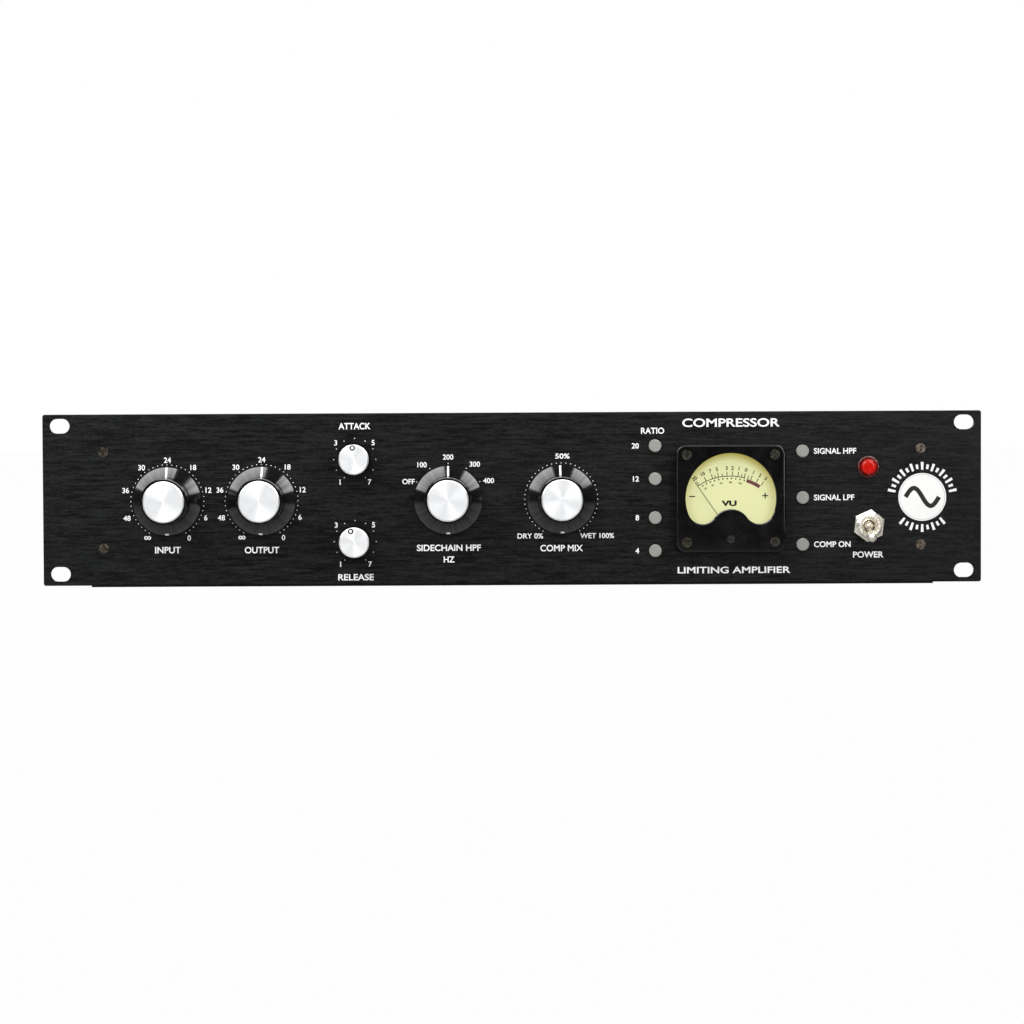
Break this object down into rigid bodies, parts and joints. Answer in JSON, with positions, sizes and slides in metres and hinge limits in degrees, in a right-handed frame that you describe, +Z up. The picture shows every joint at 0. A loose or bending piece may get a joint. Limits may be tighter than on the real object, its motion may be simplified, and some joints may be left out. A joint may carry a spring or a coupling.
{
  "type": "rack compressor",
  "caption": "Two-unit rack audio compressor: brushed black panel with skirted knobs, push buttons, needle meter, pilot lamp and toggle, on a steel case with rear connectors.",
  "frame": {"origin": "centre of the four rack slots, on the rear face of the front panel, where it lies on the rack rails", "axes": "+X to the right seen from the front, +Z up, the front faces -Y and the case runs back along +Y"},
  "size_m": [0.4826, 0.2571, 0.0891],
  "materials": {
    "black_anodised": "black anodised aluminium, horizontal brushed grain, satin",
    "black_steel": "fine-textured black powder coat",
    "screw_steel": "black oxide steel, worn on the edges",
    "zinc_steel": "zinc plated steel",
    "knob_black": "glossy black phenolic",
    "cap_aluminium": "face-turned bright aluminium",
    "nickel": "bright nickel plate",
    "button_grey": "fine matt grey plastic",
    "meter_black": "glossy black moulding",
    "meter_clear": "clear window",
    "dial_cream": "printed cream dial, lit from behind",
    "needle_black": "matt black",
    "pilot_red": "translucent red, lit",
    "board_green": "green solder mask",
    "component_dark": "moulded component bodies",
    "shield_can": "dull plated shielding",
    "transformer_wrap": "dark polyester film",
    "connector_black": "moulded black",
    "lead_red": "PVC insulation",
    "magnet_iron": "plain ground"
  },
  "bodies": {
    "chassis": {"front_panel": "black_anodised", "panel_screws": "screw_steel", "case_tray": "black_steel", "rear_panel": "black_steel", "top_cover": "black_steel", "case_screws": "screw_steel", "main_board": "board_green", "board_standoffs": "zinc_steel", "board_components": "component_dark", "audio_transformers": "shield_can", "power_transformer": "transformer_wrap", "transformer_clamp": "zinc_steel", "internal_wiring": "lead_red", "potentiometers": "zinc_steel", "rotary_switch": "zinc_steel", "control_nuts": "zinc_steel", "button_switches": "component_dark", "meter_barrel": "meter_black", "meter_bezel": "meter_black", "meter_lens": "meter_clear", "meter_dial": "dial_cream", "meter_magnet": "magnet_iron", "meter_screws": "screw_steel", "pilot_holder": "meter_black", "pilot_lens": "pilot_red", "toggle_body": "nickel", "toggle_nut": "nickel", "xlr_input": "connector_black", "xlr_output": "connector_black", "jack_sockets": "connector_black", "mains_inlet": "connector_black"},
    "input_control": {"input_knob": "knob_black", "input_knob_cap": "cap_aluminium", "input_shaft": "zinc_steel"},
    "output_control": {"output_knob": "knob_black", "output_knob_cap": "cap_aluminium", "output_shaft": "zinc_steel"},
    "sidechain_control": {"sidechain_knob": "knob_black", "sidechain_knob_cap": "cap_aluminium", "sidechain_shaft": "zinc_steel"},
    "mix_control": {"mix_knob": "knob_black", "mix_knob_cap": "cap_aluminium", "mix_shaft": "zinc_steel"},
    "attack_control": {"attack_knob": "knob_black", "attack_knob_cap": "cap_aluminium", "attack_shaft": "zinc_steel"},
    "release_control": {"release_knob": "knob_black", "release_knob_cap": "cap_aluminium", "release_shaft": "zinc_steel"},
    "ratio_20_button": {"ratio_20_button": "button_grey"},
    "ratio_12_button": {"ratio_12_button": "button_grey"},
    "ratio_8_button": {"ratio_8_button": "button_grey"},
    "ratio_4_button": {"ratio_4_button": "button_grey"},
    "signal_hpf_button": {"signal_hpf_button": "button_grey"},
    "signal_lpf_button": {"signal_lpf_button": "button_grey"},
    "compressor_on_button": {"compressor_on_button": "button_grey"},
    "needle": {"meter_needle": "needle_black"},
    "zero_adjuster": {"zero_adjuster": "meter_black"},
    "power_lever": {"toggle_lever": "nickel"},
    "fuse_drawer": {"fuse_drawer": "connector_black"}
  },
  "joints": [
    {"name": "input_turn", "type": "hinge", "parent": "chassis", "child": "input_control", "pos_m": [-0.1773, 0, -0.0008], "axis": [0, 1, 0], "range_deg": [-150, 150]},
    {"name": "output_turn", "type": "hinge", "parent": "chassis", "child": "output_control", "pos_m": [-0.1288, 0, -0.0008], "axis": [0, 1, 0], "range_deg": [-151.7, 148.3]},
    {"name": "sidechain_turn", "type": "hinge", "parent": "chassis", "child": "sidechain_control", "pos_m": [-0.0328, 0, -0.0008], "axis": [0, 1, 0], "range_deg": [-60, 60]},
    {"name": "mix_turn", "type": "hinge", "parent": "chassis", "child": "mix_control", "pos_m": [0.0253, 0, -0.0007], "axis": [0, 1, 0], "range_deg": [-148, 152]},
    {"name": "attack_turn", "type": "hinge", "parent": "chassis", "child": "attack_control", "pos_m": [-0.0808, 0, 0.0203], "axis": [0, 1, 0], "range_deg": [-144.6, 155.4]},
    {"name": "release_turn", "type": "hinge", "parent": "chassis", "child": "release_control", "pos_m": [-0.0808, 0, -0.022], "axis": [0, 1, 0], "range_deg": [-134.1, 165.9]},
    {"name": "ratio_20_press", "type": "slide", "parent": "chassis", "child": "ratio_20_button", "axis": [0, 1, 0], "range_m": [0, 0.0015], "stiffness_N_per_m": 300, "springref_m": -0.002},
    {"name": "ratio_12_press", "type": "slide", "parent": "chassis", "child": "ratio_12_button", "axis": [0, 1, 0], "range_m": [0, 0.0015], "stiffness_N_per_m": 300, "springref_m": -0.002},
    {"name": "ratio_8_press", "type": "slide", "parent": "chassis", "child": "ratio_8_button", "axis": [0, 1, 0], "range_m": [0, 0.0015], "stiffness_N_per_m": 300, "springref_m": -0.002},
    {"name": "ratio_4_press", "type": "slide", "parent": "chassis", "child": "ratio_4_button", "axis": [0, 1, 0], "range_m": [0, 0.0015], "stiffness_N_per_m": 300, "springref_m": -0.002},
    {"name": "signal_hpf_press", "type": "slide", "parent": "chassis", "child": "signal_hpf_button", "axis": [0, 1, 0], "range_m": [0, 0.0015], "stiffness_N_per_m": 300, "springref_m": -0.002},
    {"name": "signal_lpf_press", "type": "slide", "parent": "chassis", "child": "signal_lpf_button", "axis": [0, 1, 0], "range_m": [0, 0.0015], "stiffness_N_per_m": 300, "springref_m": -0.002},
    {"name": "compressor_on_press", "type": "slide", "parent": "chassis", "child": "compressor_on_button", "axis": [0, 1, 0], "range_m": [0, 0.0015], "stiffness_N_per_m": 300, "springref_m": -0.002},
    {"name": "needle_swing", "type": "hinge", "parent": "chassis", "child": "needle", "pos_m": [0.112, 0, -0.0182], "axis": [0, 1, 0], "range_deg": [0, 69]},
    {"name": "zero_adjust_turn", "type": "hinge", "parent": "chassis", "child": "zero_adjuster", "pos_m": [0.112, -0.008, -0.0214], "axis": [0, 1, 0], "range_deg": [-40, 40]},
    {"name": "power_flip", "type": "hinge", "parent": "chassis", "child": "power_lever", "pos_m": [0.1835, -0.0022, -0.015], "axis": [-1, 0, 0], "range_deg": [0, 42]},
    {"name": "fuse_drawer_slide", "type": "slide", "parent": "chassis", "child": "fuse_drawer", "axis": [0, 1, 0], "range_m": [0, 0.014]}
  ]
}
